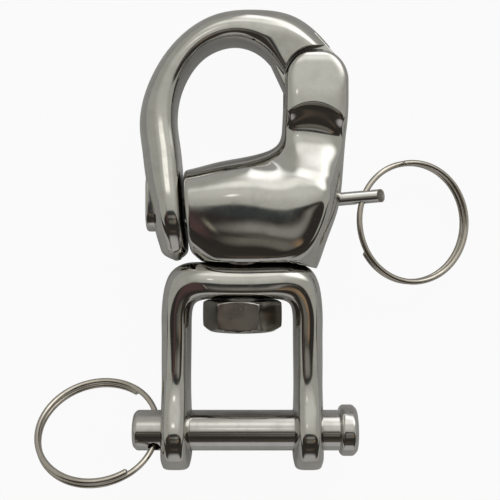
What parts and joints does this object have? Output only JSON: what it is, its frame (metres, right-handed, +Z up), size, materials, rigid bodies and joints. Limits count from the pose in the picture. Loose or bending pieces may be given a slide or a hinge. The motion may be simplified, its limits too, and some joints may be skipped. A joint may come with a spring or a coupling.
{
  "type": "snap shackle",
  "caption": "Stainless swivel snap shackle: a hinged gate closes a rounded bail, a ring-pulled spring plunger locks it, and a forked jaw with a clevis pin swivels below on a hex-headed bolt.",
  "frame": {"origin": "middle of the clevis pin, between the fork's two eyes", "axes": "+X along the clevis pin towards its head, +Y along the line of load from the fork to the bail, +Z up from the flat side that the shackle lies on"},
  "size_m": [0.0835, 0.0879, 0.0185],
  "materials": {
    "polished_steel": "mirror-polished stainless casting",
    "pin_steel": "turned and polished stainless bar",
    "bolt_steel": "polished stainless bolt, a little duller",
    "wire_steel": "drawn stainless wire"
  },
  "bodies": {
    "fork": {"jaw": "polished_steel"},
    "head": {"body": "polished_steel", "swivel_bolt": "bolt_steel", "gate_hinge_pin": "pin_steel", "plunger_spring": "wire_steel"},
    "gate": {"gate": "polished_steel"},
    "plunger": {"plunger": "pin_steel"},
    "pull_ring": {"pull_ring": "wire_steel"},
    "clevis_pin": {"clevis_pin": "pin_steel"},
    "clevis_ring": {"clevis_ring": "wire_steel"}
  },
  "joints": [
    {"name": "swivel", "type": "hinge", "parent": "fork", "child": "head", "pos_m": [0, 0.032, 0], "axis": [0, 1, 0], "continuous": true},
    {"name": "gate_swing", "type": "hinge", "parent": "head", "child": "gate", "pos_m": [0.0138, 0.0654, 0], "axis": [0, 0, -1], "range_deg": [0, 100]},
    {"name": "plunger_draw", "type": "slide", "parent": "head", "child": "plunger", "axis": [0.9962, 0.0872, 0], "range_m": [-0.00315, 0], "stiffness_N_per_m": 600, "springref_m": -0.009, "deforming": ["plunger_spring"]},
    {"name": "pull_ring_swing", "type": "hinge", "parent": "plunger", "child": "pull_ring", "pos_m": [0.02291, 0.04401, 0], "axis": [0.3868, 0.9135, -0.1257], "range_deg": [-90, 58]},
    {"name": "clevis_pin_spin", "type": "hinge", "parent": "fork", "child": "clevis_pin", "pos_m": [0, 0, 0], "axis": [1, 0, 0], "continuous": true},
    {"name": "clevis_ring_swing", "type": "hinge", "parent": "clevis_pin", "child": "clevis_ring", "pos_m": [-0.01635, 0, 0], "axis": [0, -0.682, 0.7314], "range_deg": [-75, 75]}
  ]
}
